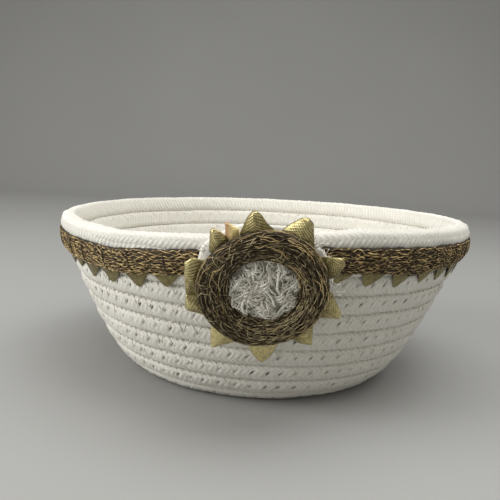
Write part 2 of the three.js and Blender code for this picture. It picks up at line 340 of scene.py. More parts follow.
def bumped(height, distance, strength, socket):
    """Feeds a shader's Normal from a height."""
    bump = height.node("Bump", None, {"Strength": strength, "Distance": distance, "Height": height})
    feed(bump, socket)


def cotton_rope():
    """Off-white braided cotton with painted shade: darker between its strands, dark in needle holes and
    dips.
    """
    skin, sockets, start = finish("cotton_rope", Roughness=0.92, Sheen_Weight=0.15, Specular_IOR_Level=0.2)
    place = object_place(start)
    patch = speckle(start, place, scale=45.0)
    fibre = speckle(start, place, scale=1900.0, detail=3.0)
    # Painted shade: the valleys between the strands are darker than their crests.
    level = (noted(start, "crest") * 0.5 + fibre * 0.7 + patch * 0.35 - 0.3).held()
    plain = level.tint(colour(0.60, 0.575, 0.505), colour(0.90, 0.885, 0.82))
    # Painted shade in the needle holes and the rim's dips.
    painted_hole_shade = (noted(start, "hole") * 1.6 - 0.35).held()
    feed(painted_hole_shade.tint(plain, colour(0.07, 0.06, 0.045)), sockets["Base Color"])
    bumped(fibre, distance=0.0003, strength=0.55, socket=sockets["Normal"])
    return skin


def cotton_thread(name, dark, light):
    """Twisted cotton: a stripe that runs round the thread as it goes along."""
    skin, sockets, start = finish(name, Roughness=0.85, Sheen_Weight=0.1, Specular_IOR_Level=0.25)
    twist = start.node(
        "TexWave",
        {"wave_type": "BANDS", "bands_direction": "DIAGONAL"},
        {"Vector": start.node("UVMap", {"uv_map": "run"}), "Scale": 0.55, "Distortion": 1.5},
        output=1,
    )
    level = (twist * 0.5 + speckle(start, object_place(start), scale=900.0) * 0.6).held()
    feed(level.tint(dark, light), sockets["Base Color"])
    return skin


def net_finish(name, dark, light, metallic, roughness, shine):
    """Metallic thread: brown with painted tan glints, more of them for a higher shine and on lighter
    threads.
    """
    skin, sockets, start = finish(name, Metallic=metallic, Specular_IOR_Level=0.5)
    place = object_place(start)
    patch = speckle(start, place, scale=420.0, detail=3.0)
    fine = speckle(start, place, scale=1500.0)
    # Painted glints: the shade attribute and the noise lift the colour towards the light tan.
    level = (noted(start, "shade") + patch * 0.6 + fine * 0.8 + (shine - 1.2)).held()
    feed(level.tint(dark, light), sockets["Base Color"])
    feed(roughness + 0.25 * (1 - fine), sockets["Roughness"])
    bumped(fine, distance=0.0002, strength=0.5, socket=sockets["Normal"])
    return skin


def ribbon_finish(name, dark, light):
    """Metallic woven ribbon: smoother on the raised dots of its weave. Its colour carries painted
    highlights on the dots, painted shade between them and painted shade near its root, which each petal
    adds to."""
    skin, sockets, start = finish(name, Metallic=0.75, Specular_IOR_Level=0.5)
    place = object_place(start)
    crest = noted(start, "crest")
    patch = speckle(start, place, scale=700.0, detail=3.0)
    grain = speckle(start, place, scale=2200.0)
    # Painted highlights on the weave's raised dots, painted shade between them and near the root.
    level = (crest * 1.1 + patch * 1.1 - noted(start, "root") * 0.3 - 0.6).held()
    feed(level.tint(dark, light), sockets["Base Color"])
    feed(0.46 - 0.24 * crest, sockets["Roughness"])
    bumped(grain, distance=0.0002, strength=0.25, socket=sockets["Normal"])
    return skin


COPPER_EDGE, COPPER_FADE = 0.0118, 550.0


def copper_finish():
    """Copper ribbon that fades from rose at its left edge to yellow, over about 2 mm."""
    skin, sockets, start = finish("copper_ribbon", Metallic=0.2, Roughness=0.4, Specular_IOR_Level=0.5)
    across = start.node("SeparateXYZ", None, {0: object_place(start)})
    # The raised weave dots are lighter: painted highlights.
    level = ((across + COPPER_EDGE) * COPPER_FADE + noted(start, "crest") * 0.4 + 0.15).held()
    feed(level.tint(colour(0.56, 0.32, 0.17), colour(1.0, 0.82, 0.36)), sockets["Base Color"])
    return skin


def felt_finish(name, dark, light):
    """Felted cotton with fine fibres."""
    skin, sockets, start = finish(name, Roughness=0.95, Sheen_Weight=0.2, Specular_IOR_Level=0.2)
    fibre = speckle(start, object_place(start), scale=1100.0, detail=4.0)
    feed(fibre.tint(dark, light), sockets["Base Color"])
    bumped(fibre, distance=0.0003, strength=0.5, socket=sockets["Normal"])
    return skin


def floor_finish():
    """Plain pale floor with a faint unevenness."""
    skin, sockets, start = finish("floor_paint", Roughness=0.6, Specular_IOR_Level=0.3)
    cloud = speckle(start, object_place(start), scale=3.0)
    feed(cloud.tint(colour(0.33, 0.33, 0.32), colour(0.37, 0.37, 0.36)), sockets["Base Color"])
    return skin


ROPE = cotton_rope()
THREAD = cotton_thread("cotton_thread", colour(0.60, 0.565, 0.49), colour(0.86, 0.835, 0.76))
FRAY = cotton_thread("cotton_fray", colour(0.60, 0.575, 0.49), colour(0.97, 0.945, 0.85))
# Dark cotton for the tacks across the band, and for the painted shadow line round the ring's outer edge.
DARK_THREAD_AND_SHADOW = cotton_thread("dark_thread_and_shadow", colour(0.02, 0.012, 0.008), colour(0.06, 0.04, 0.025))
# Nearly black brown cloth under the net threads and in the ring's pad: the net's own brown with painted
# shade in the gaps between the threads.
NET = net_finish(
    "net_cloth", colour(0.014, 0.008, 0.004), colour(0.04, 0.024, 0.012),
    metallic=0.2, roughness=0.55, shine=1.0,
)
STRAND = net_finish(
    "net_strand", colour(0.125, 0.077, 0.028), colour(0.94, 0.7, 0.31),
    metallic=0.2, roughness=0.32, shine=0.25,
)
# A darker copy of the strand finish for the net's under layer: painted shade under the front net.
SHADED_BACK_STRAND = net_finish(
    "shaded_back_strand", colour(0.04, 0.025, 0.01), colour(0.33, 0.232, 0.095),
    metallic=0.3, roughness=0.4, shine=0.2,
)
RING_STRAND = net_finish(
    "ring_strand", colour(0.05, 0.033, 0.012), colour(0.69, 0.57, 0.32),
    metallic=0.25, roughness=0.35, shine=0.2,
)
GOLD = ribbon_finish("gold_ribbon", colour(0.14, 0.113, 0.04), colour(0.88, 0.76, 0.38))
POINT_GOLD = ribbon_finish("point_ribbon", colour(0.085, 0.07, 0.027), colour(0.42, 0.355, 0.165))
COPPER = copper_finish()
FELT = felt_finish("cotton_felt", colour(0.7, 0.68, 0.61), colour(0.92, 0.9, 0.84))
# Darker felt under the loose ends of the tuft: painted shade in the gaps between them.
TUFT_SHADED_GROUND = felt_finish("tuft_shaded_ground", colour(0.24, 0.225, 0.19), colour(0.55, 0.53, 0.46))

# The rope. Its surface is a grid, with rows along the rope and columns round it.

LINE_STEPS = 60001
ROW, COLUMN = 0.5, 1.05
ROWS_PER_STITCH = 4
COLUMNS = 24
START_STRAIGHT = 1.7
SECTION_TURN = math.radians(11)
HALF_WIDTH, HALF_DEPTH = 4.1, 3.3
SQUARE_OUTSIDE, SQUARE_INSIDE = 0.7, 0.5
ROPE_LOWEST = 0.12
WANDER_UP, WANDER_OUT = 0.1, 0.16

# The tapered end: its last width and depth as shares of the rope's, how far it sinks into the turn below it
# and, as a share of the rope's depth, how far it stands out.
END_WIDTH, END_POWER, END_DEPTH = 0.04, 1.2, 0.62
END_SINK, END_SINK_RATE, END_OUT = 2.0, 3, 0.3

# Rows that each column is shifted by and the height of its strands, on the wall and on the rim.
WALL_SHIFT, WALL_HEIGHT = np.tile([2, 4, 2, 0], 6), np.tile([1.0, 0.35], 12)
RIM_SHIFT, RIM_HEIGHT = np.tile([6, 5, 3, 2, 0, 2, 3, 5], 3), np.tile([0.35, 0.85, 1.0, 0.85], 6)
RIM_START, RIM_BLEND, RIM_OUTSIDE, RIM_INSIDE = FRONT_TURN - 1, 0.04, 0.9, 0.6
STRAND_PROFILE = np.array([1, 0.5, 0, 0.5])
STRAND_RANGE, STRAND_RELIEF, RIM_MORE_RELIEF, FUZZ = (0.45, 1.25), 0.3, 0.08, 0.06

# Needle holes on the wall and dips on the rim, pressed in and darkened as painted shade.
HOLE_COLUMN, HOLE_ROWS, HOLE_FIRST = 18, 11, 8
HOLE_RANGE, HOLE_RELIEF, HOLE_BESIDE = (0.55, 1.3), 0.7, 0.06
HOLE_PROFILE = ((0, 1.0), (1, 0.45), (-1, 0.45))
DIP_COLUMN, DIP_RANGE, DIP_DEPTH = 20, (0.3, 1.0), 0.5


def rope_rows():
    """Where each row of the rope's grid is: its turn, middle, way up the wall, way out and its size both
    ways. Rows are evenly spaced along the rope, which starts straight. Over its last 64 degrees it tapers
    and sinks into the turn below."""
    turns = np.linspace(0, END_TURN, LINE_STEPS)
    length = run_along(rope_line(turns))
    place = np.arange(-START_STRAIGHT, length[-1], ROW)
    turn = np.interp(place, length, turns)
    middle = rope_line(turn)
    heading = unit((rope_line(turn + 1e-4) - middle) * [1, 1, 0])
    middle = middle + heading * np.minimum(place, 0)[:, None]
    outward = np.stack([-heading[:, 1], heading[:, 0], np.zeros(len(turn))], -1)
    lean = lean_at(turn)[:, None]
    along = outward * np.sin(lean) + UP * np.cos(lean)
    off = outward * np.cos(lean) - UP * np.sin(lean)
    left = np.clip((END_TURN - turn[:, None]) * 360 / TAPER_DEGREES, 0, 1)
    width = END_WIDTH + (1 - END_WIDTH) * left**END_POWER
    sunk = END_SINK * np.clip(END_SINK_RATE * (1 - left), 0, 1)
    middle = middle - along * ((1 - width) * HALF_WIDTH + sunk)
    middle = middle + off * (END_OUT * (1 - left) * HALF_DEPTH)
    size = np.concatenate([width + sunk / HALF_WIDTH, END_DEPTH + (1 - END_DEPTH) * left], 1)
    draw = np.random.default_rng(11)
    middle = middle + along * (WANDER_UP * ripple(place[:, None], (23, 41, 67), draw))
    middle = middle + off * (WANDER_OUT * ripple(place[:, None], (19, 37, 71), draw))
    return turn, middle, along, off, size


def between(values, rows):
    """Values at fractional row numbers, straight between neighbouring rows."""
    low = np.floor(rows).astype(int)
    part = (rows - low)[..., None]
    return values[low] * (1 - part) + values[low + 1] * part


def braided_rope():
    """Surface of the rope: rows of a rounded-square section, each row bent into zigzags round the rope, so
    that the raised rows are strands that meet in Vs. The wall shows six narrow zigzags. The rim, which is
    less drawn in by its seam, shows three wide ones, with a dip where the strands meet outside, darkened
    as painted shade. About every 11 rows of the wall a small needle hole is pressed into the outer side, on
    a slant of the zigzag a little above its middle, and darkened as painted shade too."""
    turn, middle, along, off, size = rope_rows()
    draw = np.random.default_rng(12)
    count = len(turn) - RIM_SHIFT.max() - 1
    rim = np.clip((turn[:count] - RIM_START) / RIM_BLEND, 0, 1)[:, None]
    row = np.arange(count)[:, None] + WALL_SHIFT * (1 - rim) + RIM_SHIFT * rim
    angle = TAU * np.arange(COLUMNS) / COLUMNS + SECTION_TURN
    inside = SQUARE_INSIDE * (1 - rim) + RIM_INSIDE * rim
    outside = SQUARE_OUTSIDE * (1 - rim) + RIM_OUTSIDE * rim
    power = np.where(np.sin(angle) > 0, inside, outside)
    across = HALF_WIDTH * np.sign(np.cos(angle)) * np.abs(np.cos(angle)) ** power
    through = -HALF_DEPTH * np.sign(np.sin(angle)) * np.abs(np.sin(angle)) ** power
    reach = np.hypot(across, through)
    strand = STRAND_PROFILE[np.arange(count) % ROWS_PER_STITCH][:, None]
    stitch = (np.arange(count) + ROWS_PER_STITCH // 2) // ROWS_PER_STITCH
    uneven = draw.uniform(*STRAND_RANGE, (stitch[-1] + 1, COLUMNS))[stitch]
    crest = strand * uneven * (WALL_HEIGHT * (1 - rim) + RIM_HEIGHT * rim)
    dip = (1 - strand) * rim * (np.arange(COLUMNS) == DIP_COLUMN) * draw.uniform(*DIP_RANGE, (count, 1))
    relief = (STRAND_RELIEF + RIM_MORE_RELIEF * rim) * crest + draw.normal(0, FUZZ, (count, COLUMNS))
    hole = DIP_DEPTH * dip
    even = np.arange(HOLE_FIRST, np.searchsorted(turn, RIM_START), HOLE_ROWS)
    spots = even + draw.integers(-1, 2, len(even))
    depth = draw.uniform(*HOLE_RANGE, len(spots))
    for step, sunk in HOLE_PROFILE:
        hole[spots + step, HOLE_COLUMN] = depth * sunk
        for column in (HOLE_COLUMN - 1, HOLE_COLUMN + 1):
            near = spots + step + WALL_SHIFT[HOLE_COLUMN] - WALL_SHIFT[column]
            hole[near, column] = HOLE_BESIDE * depth * sunk
    relief = relief - HOLE_RELIEF * hole
    grown = (1 + relief / reach)[..., None] * between(size, row)
    points = between(middle, row) + between(along, row) * (across * grown[..., 0])[..., None]
    points = points + between(off, row) * (through * grown[..., 1])[..., None]
    points[..., 2] = np.maximum(points[..., 2], ROPE_LOWEST)
    return turn, points, crest, hole


def add_rope():
    """The rope in four lengths, so that no mesh is too large: the base and three stages of the wall."""
    turn, points, crest, hole = braided_rope()
    count = len(points)
    base_end = int(np.searchsorted(turn, BASE_TURNS))
    cuts = [0, base_end, *(base_end + (count - 1 - base_end) * k // 3 for k in (1, 2, 3))]
    for k, name in enumerate(("rope_base", "rope_wall_low", "rope_wall_high", "rope_rim")):
        part = slice(cuts[k], cuts[k + 1] + 1)
        values = {"crest": crest[part], "hole": hole[part]}
        add_piece(name, points[part], ROPE, ["rope_coil"], (ROW, COLUMN), values)


# The points of one zigzag of the seam: places along it as shares of a period, heights over the groove as
# shares of the reach below and above it, and lifts off the middle of the rope.
SEAM_PERIOD = HOLE_ROWS * ROW
SEAM_PLACES = np.array([0, 0.1, 0.22, 0.36, 0.48, 0.58, 0.66, 0.74, 0.84, 0.92])
SEAM_HEIGHTS = np.array([-1, -0.72, -0.3, 0.3, 0.72, 1, 0.72, 0.3, -0.3, -0.72])
SEAM_LIFTS = np.array([3.15, 3.35, 2.65, 2.55, 2.95, 2.65, 2.95, 2.55, 2.65, 3.35])
SEAM_START, SEAM_UNEVEN, SEAM_FLATNESS = 0.9, 0.12, 0.8
SEAM_LOWEST, SEAM_SKIN_LOWEST = 0.25, 0.02


def add_seam(name, side, first_phase, below, above, thickness):
    """Zigzag sewing thread over the groove between each turn and the next, on the outer side (1) or the
    inner side (-1): slanted strokes that bridge the groove and sink into the rope below and above it."""
    turns = np.linspace(SEAM_START, END_TURN - 1 - TAPER_DEGREES / 360, LINE_STEPS)
    length = run_along((rope_line(turns) + rope_line(turns + 1)) / 2)
    periods = int(length[-1] / SEAM_PERIOD) - 1
    draw = np.random.default_rng(21)
    place = (np.arange(periods)[:, None] + first_phase + SEAM_PLACES) * SEAM_PERIOD
    place = place + draw.normal(0, SEAM_UNEVEN, place.shape)
    at = np.interp(place.ravel(), length, turns)
    low, high = rope_line(at), rope_line(at + 1)
    middle, across = (low + high) / 2, unit(high - low)
    outward = unit(middle * [1, 1, 0])
    lean = lean_at(at + 0.5)[:, None]
    off = (outward * np.cos(lean) - UP * np.sin(lean)) * side
    height = np.where(SEAM_HEIGHTS < 0, below, above) * SEAM_HEIGHTS
    reach = np.tile(height, periods) + draw.normal(0, SEAM_UNEVEN, len(at))
    path = middle + across * reach[:, None] + off * np.tile(SEAM_LIFTS, periods)[:, None]
    path[:, 2] = np.maximum(path[:, 2], SEAM_LOWEST)
    rings = rings_along(path[None], off[None], thickness, SEAM_FLATNESS * thickness)
    rings[..., 2] = np.maximum(rings[..., 2], SEAM_SKIN_LOWEST)
    add_piece(name, rings, THREAD, scale=(0.5, 0.4))


# The band, its net and the points under it. The band's right end runs on under the felt by the tuck. The
# tuck and the sag's middle and spread are in degrees.

BAND_TUCK = 2.0
BAND_ANGLES = np.radians([BAND_START, 360 - BAND_START + BAND_TUCK])
RIM_RADIUS = 88.0
BAND_BULGE = 1.1
SAG_DROP, SAG_MIDDLE, SAG_SPREAD = 1.5, 323, 7
BAND_STEPS, BAND_ROWS = 1300, 9
BAND_FRONT, BAND_BEHIND, BAND_CRINKLE = 0.2, 0.1, 0.12
TOP_WANDER, LOW_WANDER, LOW_INSET = 0.25, 0.3, 0.4
NET_STEPS, NET_LOZENGE, NET_DEPTH = 1500, 4.8, 0.17
NET_INSET, NET_SHORTER, NET_WAVE = 0.1, 0.6, 0.1
GLINT_COUNT, GLINT_LENGTHS, GLINT_ARC = 620, (1.6, 4.0), 0.45
GLINT_TILT, GLINT_BOW, GLINT_SHADES = 0.45, 0.3, (0.2, 1.0)


def rim_turn(angle, above):
    """Turn of the wall at a distance above the middle of the rim's rope, with the rise of the band's first
    end, which fades over 23 degrees."""
    rise = BAND_RISE * np.maximum(0, 1 - (np.degrees(angle) - BAND_START) / BAND_RISE_SPAN)
    return FRONT_TURN - 1 + angle / TAU + (above + rise) / PITCH


def on_rim(angle, above, lift):
    """Point at an angle from the front, a distance above the middle of the rim's rope and a lift off it."""
    return on_wall(rim_turn(angle, above), angle, lift)


def band_sag(angle):
    """Drop of the band's lower edge right of the flower, a smooth bump 14 degrees wide."""
    return SAG_DROP * np.exp(-(((np.degrees(angle) - SAG_MIDDLE) / SAG_SPREAD) ** 2))


def band_lift(above):
    """Lift of the band, which bulges by half a sine from its top edge to its lower edge."""
    return BAND_LIFT + BAND_BULGE * np.sin(np.pi * np.clip((BAND_TOP - above) / BAND_WIDTH, 0, 1))


def add_band():
    """Ribbon under the rim: a thin strip, crinkled out of its plane by uneven waves along and across it,
    with a wandering edge."""
    draw = np.random.default_rng(31)
    angle = np.linspace(*BAND_ANGLES, BAND_STEPS)
    run = angle * RIM_RADIUS
    share = np.linspace(0, 1, BAND_ROWS)
    top = BAND_TOP + TOP_WANDER * ripple(run, (7, 13, 29), draw)
    low = BAND_TOP - BAND_WIDTH + LOW_INSET + LOW_WANDER * ripple(run, (9, 17, 31), draw) - band_sag(angle)
    above = top[:, None] + (low - top)[:, None] * share
    waves = [ripple(run + 3 * k, (4.1, 7.3, 12.7), draw) for k in range(BAND_ROWS)]
    lift = band_lift(above) + BAND_CRINKLE * np.stack(waves, -1)
    front = on_rim(angle[:, None], above, lift + BAND_FRONT)
    back = on_rim(angle[:, None], above, lift - BAND_BEHIND)
    rings = np.concatenate([front, back[:, ::-1]], 1)
    return add_piece("band_cloth", rings, NET, ["band_ribbon"], (0.4, 1.1))


def add_net(name, rows, lift, thickness, skin, seed):
    """Threads of the net along the band: waves about evenly spaced lines, each in opposite phase to its
    neighbours, so that they meet and part in long lozenges."""
    draw = np.random.default_rng(seed)
    angle = np.linspace(*BAND_ANGLES, NET_STEPS)
    run = angle * RIM_RADIUS
    line = (np.arange(rows) + 0.5) / rows
    gap = BAND_WIDTH / rows
    warp = 1.6 * ripple(run, (11, 19, 43), draw)
    paths, thick, shade = [], [], []
    for k in range(rows):
        phase = TAU * (run + warp) / NET_LOZENGE + np.pi * (k % 2) + 1.1 * ripple(run, (6, 9, 21), draw)
        size = 0.3 + 0.2 * ripple(run, (6, 14, 33), draw)
        above = BAND_TOP - NET_INSET - (BAND_WIDTH - NET_SHORTER + band_sag(angle)) * line[k]
        above = above + gap * size * np.sin(phase) + NET_WAVE * ripple(run, (16, 45), draw)
        wave = NET_WAVE * np.cos(phase) + NET_WAVE * ripple(run, (5, 9, 23), draw)
        paths.append(on_rim(angle, above, band_lift(above) + lift + wave))
        thick.append(thickness * (1 + 0.4 * ripple(run, (3, 5, 13), draw)))
        shade.append(0.5 + 0.5 * ripple(run, (2.3, 5, 17), draw))
    up = lifted(on_rim, angle, BAND_TOP - BAND_WIDTH / 2, BAND_LIFT)[1]
    return add_threads(name, (np.stack(paths), up), (np.stack(thick), NET_DEPTH), skin, (0.35, 0.3), shade)


def add_band_glints():
    """Short bright threads on the net, nearly level, each a shallow arc."""
    draw = np.random.default_rng(34)
    each = (GLINT_COUNT, 1)
    share = np.linspace(0, 1, 6)
    length = draw.uniform(*GLINT_LENGTHS, each)
    angles = draw.uniform(*BAND_ANGLES, each) + length / RIM_RADIUS * share
    above = BAND_TOP - 0.3 - (BAND_WIDTH - 1.0) * draw.random(each)
    above = above + draw.normal(0, GLINT_TILT, each) * (share - 0.5)
    above = above + draw.normal(0, GLINT_BOW, each) * np.sin(np.pi * share)
    lift = band_lift(above) + 0.3 + GLINT_ARC * np.sin(np.pi * share)
    lines = lifted(on_rim, angles, above, lift)
    shade = draw.uniform(*GLINT_SHADES, each)
    return add_threads("band_glints", lines, (0.15, 0.12), STRAND, (0.5, 0.3), shade)


POINT_ANGLES = np.radians(np.linspace(POINT_FIRST, POINT_LAST, POINT_COUNT))
TACK_OFFSET, TACK_SLANT = 0.012, 0.008


def add_tacks():
    """Dark stitches across the band: one beside each hanging point, from its top edge to its lower edge."""
    draw = np.random.default_rng(41)
    each = (POINT_COUNT, 1)
    share = np.linspace(0, 1, 9)
    angle = POINT_ANGLES[:, None] + draw.normal(0, TACK_OFFSET, each)
    angle = angle + draw.normal(0, TACK_SLANT, each) * (share - 0.5)
    above = BAND_TOP - 0.2 - (BAND_WIDTH - 0.5) * share
    lift = band_lift(above) + 0.15 + 0.6 * np.sin(np.pi * share) ** 0.3
    lines = lifted(on_rim, angle, above, lift)
    return add_threads("band_tacks", lines, (0.26, 0.17), DARK_THREAD_AND_SHADOW, (1.2, 0.3))


WEAVE_ALONG, WEAVE_ACROSS, WEAVE_RELIEF, WEAVE_FADE = 0.8, 1.15, 0.085, 3
# Where the painted shade near a leaf's root ends, as a share of its length, and over what share it fades.
ROOT_END, ROOT_FADE = 0.7, 0.35


def leaf_rings(left, right, edge, swell, ridge, curl, front, back):
    """Folded ribbon points as rings across them, from both edges' places on a plane, arrays of leaves by
    rows. Each ring is flat behind and swells in front to a ridge along the middle, less so near the root
    and the tip, which is lifted by curl. The front carries rows of raised dots, a cosine along the leaf
    times a cosine across it. Gives places on the plane, distances out of it and, for the finish, how raised
    each point's dot is and how near the root it is."""
    share = np.linspace(0, 1, left.shape[1])[:, None]
    flat = np.concatenate([np.linspace(1, -1, front + 1), np.linspace(-1, 1, back + 1)[1:-1]])
    seen = np.arange(len(flat)) <= front
    part = (1 + flat[:, None]) / 2
    places = left[:, :, None] * (1 - part) + right[:, :, None] * part
    half = np.linalg.norm(right - left, axis=-1)[..., None] / 2
    length = np.linalg.norm(left[:, -1] - (left[:, 0] + right[:, 0]) / 2, axis=-1)[:, None, None]
    rounded = edge / 2 * np.sqrt(np.clip(1 - flat**6, 0, 1))
    body = (1 - share**2.5) ** 0.8 * np.clip((share + 0.05) / 0.5, 0, 1)
    raised = (swell - edge / 2) * body * (1 - np.abs(flat) ** ridge)
    along, across = length * share / WEAVE_ALONG, half * flat / WEAVE_ACROSS
    dots = np.cos(TAU * along) * np.cos(TAU * across) * seen
    dots = dots * np.clip(WEAVE_FADE * (1 - np.abs(flat)), 0, 1)
    out = edge / 2 + np.where(seen, rounded + raised, -rounded) + WEAVE_RELIEF * dots
    # Nearness to the root, which the finish darkens as painted shade.
    root = np.clip((ROOT_END - share) / ROOT_FADE, 0, 1)
    values = {"crest": 0.5 + 0.5 * dots, "root": np.broadcast_to(root, dots.shape)}
    return places, out + np.asarray(curl)[:, None, None] * share**2, values


POINT_OUTLINE = [(0, 0.5), (0.25, 0.49), (0.52, 0.37), (0.81, 0.19), (0.94, 0.1), (1, 0.01)]
POINT_ROWS = 40
POINT_SKEW, POINT_MORE_SKEW, SKEW_FROM, SKEW_SPAN = 1.4, 1.6, 270, 30
POINT_CURL = -0.3


def add_points():
    """Gold ribbon points that hang from under the band, each a little different. All lean their tips to
    the left in front, those right of the flower more."""
    draw = np.random.default_rng(51)
    each = (POINT_COUNT, 1)
    leaning = np.clip((np.degrees(POINT_ANGLES[:, None]) - SKEW_FROM) / SKEW_SPAN, 0, 1)
    skew = draw.normal(0, 0.4, each) + POINT_SKEW + POINT_MORE_SKEW * leaning
    length = (POINT_ROOT - POINT_TIP) + draw.normal(0, 0.35, each)
    width = POINT_WIDTH * draw.uniform(0.94, 1.02, each)
    curl = draw.normal(POINT_CURL, 0.12, POINT_COUNT)
    share = np.linspace(0, 1, POINT_ROWS)
    half = np.interp(share, *np.transpose(POINT_OUTLINE)) * width
    middle = skew * share**1.5
    along = length * share
    left, right = np.stack([middle + half, along], -1), np.stack([middle - half, along], -1)
    places, out, values = leaf_rings(
        left, right, edge=0.25, swell=0.65, ridge=1.6, curl=curl, front=42, back=6
    )
    root, off = lifted(on_rim, POINT_ANGLES, POINT_ROOT, POINT_LIFT)
    ahead, behind = (on_rim(POINT_ANGLES + turn, POINT_ROOT, POINT_LIFT) for turn in (0.01, -0.01))
    side = ahead - behind
    side = unit(side - off * (side * off).sum(-1, keepdims=True))
    down = np.cross(off, side)
    rings = root[:, None, None] + places[..., :1] * side[:, None, None]
    rings = rings + places[..., 1:] * down[:, None, None] + out[..., None] * off[:, None, None]
    nodes = [f"trim_point_{i + 1:02d}" for i in range(POINT_COUNT)] + ["trim_tape"]
    return add_piece("trim_points", rings, POINT_GOLD, nodes, (0.25, 0.3), values)


# The flower.

FLOWER_LEAN = float(lean_at(FLOWER_TURN))
FLOWER_MIDDLE = on_wall(FLOWER_TURN, 0, FLOWER_LIFT)
FLOWER_TOP = np.array([0, -math.sin(FLOWER_LEAN), math.cos(FLOWER_LEAN)])
FLOWER_OUT = np.array([0, -math.cos(FLOWER_LEAN), -math.sin(FLOWER_LEAN)])
FLOWER_AXES = (np.array([1, 0, 0]), FLOWER_TOP, FLOWER_OUT)


def on_flower(right, top, out):
    """Point on the flower's plane, by distances to the right, up the wall and out."""
    places = np.broadcast_arrays(right, top, out)
    moves = (place[..., None] * axis for place, axis in zip(places, FLOWER_AXES))
    return sum(moves, FLOWER_MIDDLE)


# The felt's section, as shares of its radius and thickness, and bumps of its edge: where each is in degrees
# from the right, its reach and its spread in degrees.
FELT_SIDES = 96
FELT_RADII = np.array([0.02, 0.5, 0.97, 1.0, 0.97, 0.9, 0.78, 0.5, 0.02])
FELT_HEIGHTS = np.array([0, 0, 0.05, 0.3, 0.55, 0.85, 1.0, 1.0, 1.0])
FELT_BUMPS = ((148, 1.4, 10), (40, -0.2, 12), (92, -1.4, 28), (192, -2.5, 14))


def add_backing():
    """White felt disc behind the flower: rings from its back to its front, with a wandering edge that shows
    between the upper petals."""
    draw = np.random.default_rng(61)
    angle = np.linspace(0, TAU, FELT_SIDES, endpoint=False)
    edge = BACKING_RADIUS + 0.25 * np.sin(3 * angle + 1) + 0.2 * np.sin(7 * angle)
    edge = edge + draw.normal(0, 0.08, FELT_SIDES)
    for middle, reach, spread in FELT_BUMPS:
        edge = edge + reach * np.exp(-(((np.degrees(angle) - middle) / spread) ** 2))
    radius = FELT_RADII[:, None] * edge
    height = FELT_HEIGHTS[:, None] * BACKING_THICKNESS
    rings = on_flower(radius * np.cos(angle), radius * np.sin(angle), height)
    return add_piece("flower_felt", rings, FELT, ["flower_backing"])


# Where the felt's loose fibres and thread ends are, in degrees from the right.
FIBRE_PLACES, FIBRE_FIRST_SHARE, THREAD_END_PLACE = (40.0, 150.0), 0.8, 4.0


def add_felt_fray():
    """Loose fibres on the felt's edge where it shows between petals, and six longer thread ends that hang
    down at its right: arcs that start on the disc and run over its edge."""
    draw = np.random.default_rng(62)
    short, long, steps = 30, 6, 7
    each = (short + long, 1)
    ends = np.arange(short + long)[:, None] >= short
    share = np.linspace(0, 1, steps)
    middle = np.where(draw.random(each) < FIBRE_FIRST_SHARE, *FIBRE_PLACES)
    middle = np.where(ends, THREAD_END_PLACE, middle)
    angle = np.radians(middle + draw.normal(0, 1, each) * np.where(ends, 2, 6))
    heading = np.where(ends, -1.0, angle) + draw.normal(0, 1, each) * np.where(ends, 0.2, 0.7)
    way = heading + draw.normal(0, 1, each) * np.where(ends, 0.6, 0.9) * share
    step = np.where(ends, 2.2, 1.0) * draw.uniform(1.5, 3.6, each) / steps
    radius = BACKING_RADIUS + draw.uniform(-2.4, -0.6, each)
    right = radius * np.cos(angle) + np.cumsum(np.cos(way) * step, 1)
    top = radius * np.sin(angle) + np.cumsum(np.sin(way) * step, 1)
    out = 0.6 * BACKING_THICKNESS + draw.uniform(0.1, 0.5, each) * np.sin(np.pi * share)
    paths = on_flower(right, top, out)
    return add_threads("felt_fray", (paths, FLOWER_OUT), (0.13, 0.13), FRAY, (0.5, 0.4))


# Each petal's outline on the flower's plane, as corners right and up from its middle, from the left root
# to the right root seen from the tip's side. Then how far its tip is lifted, how thick it swells and how
# much painted shade it has. Painted shade below 0 is painted light: it makes a petal brighter and takes
# away the painted shade near its root.
PETALS = [
    ([(-7, 14), (-8.5, 17.8), (-6.9, 22.7), (-6, 24.7), (-4.8, 25.9), (-3.2, 26), (-1.9, 24.9),
      (-0.2, 22.1), (2.4, 19.8), (2.4, 15)], 0.5, 3.2, 0.6),
    ([(4, 15), (4.4, 20.3), (7.5, 23), (10.1, 24.8), (12.2, 24.6), (13.9, 22.8), (14.9, 14.5),
      (13.4, 11)], 0.5, 3.8, 0.3),
    ([(14.5, 10), (18.3, 11.6), (24.3, 11.5), (25.2, 9), (22.8, 4), (20.5, 3.4), (16, 2.5)], 0.2, 2.6, 0.8),
    ([(17, 0.5), (22, -1.4), (26, -8.8), (25.4, -11), (19.4, -11.6), (15, -9.5)], 0.6, 2.6, 0.0),
    ([(15, -10), (17.3, -14), (17.6, -22), (13.2, -22.2), (9.5, -20.5), (8, -15)], 0.8, 2.6, 0.0),
    ([(5.6, -16), (6.2, -23), (4.6, -27.2), (2.8, -29.3), (1, -30.2), (-0.8, -29.3), (-2.8, -27),
      (-4.4, -23.4), (-4.4, -16)], 1.2, 2.6, -0.5),
    ([(-6.5, -16), (-8.6, -23.4), (-15.8, -25.2), (-16.6, -24.4), (-16.8, -18), (-15.6, -14),
      (-12.5, -10.5)], 1.0, 2.6, -0.5),
    ([(-14, -9.5), (-17.6, -13.2), (-24, -11.4), (-25.2, -9.7), (-25, -4.9), (-17, -4.6)], 0.6, 2.6, 0.0),
    ([(-16.5, -5.15), (-25, -5.5), (-25.5, 3), (-25.2, 7.2), (-22.8, 9), (-15.5, 7)], 0.4, 2.6, 0.1),
    ([(-14, 8), (-17.8, 11), (-17.6, 18.6), (-16.4, 19.6), (-14.4, 18.6), (-11.8, 16.4),
      (-10, 13)], 0.3, 2.6, 0.0),
]
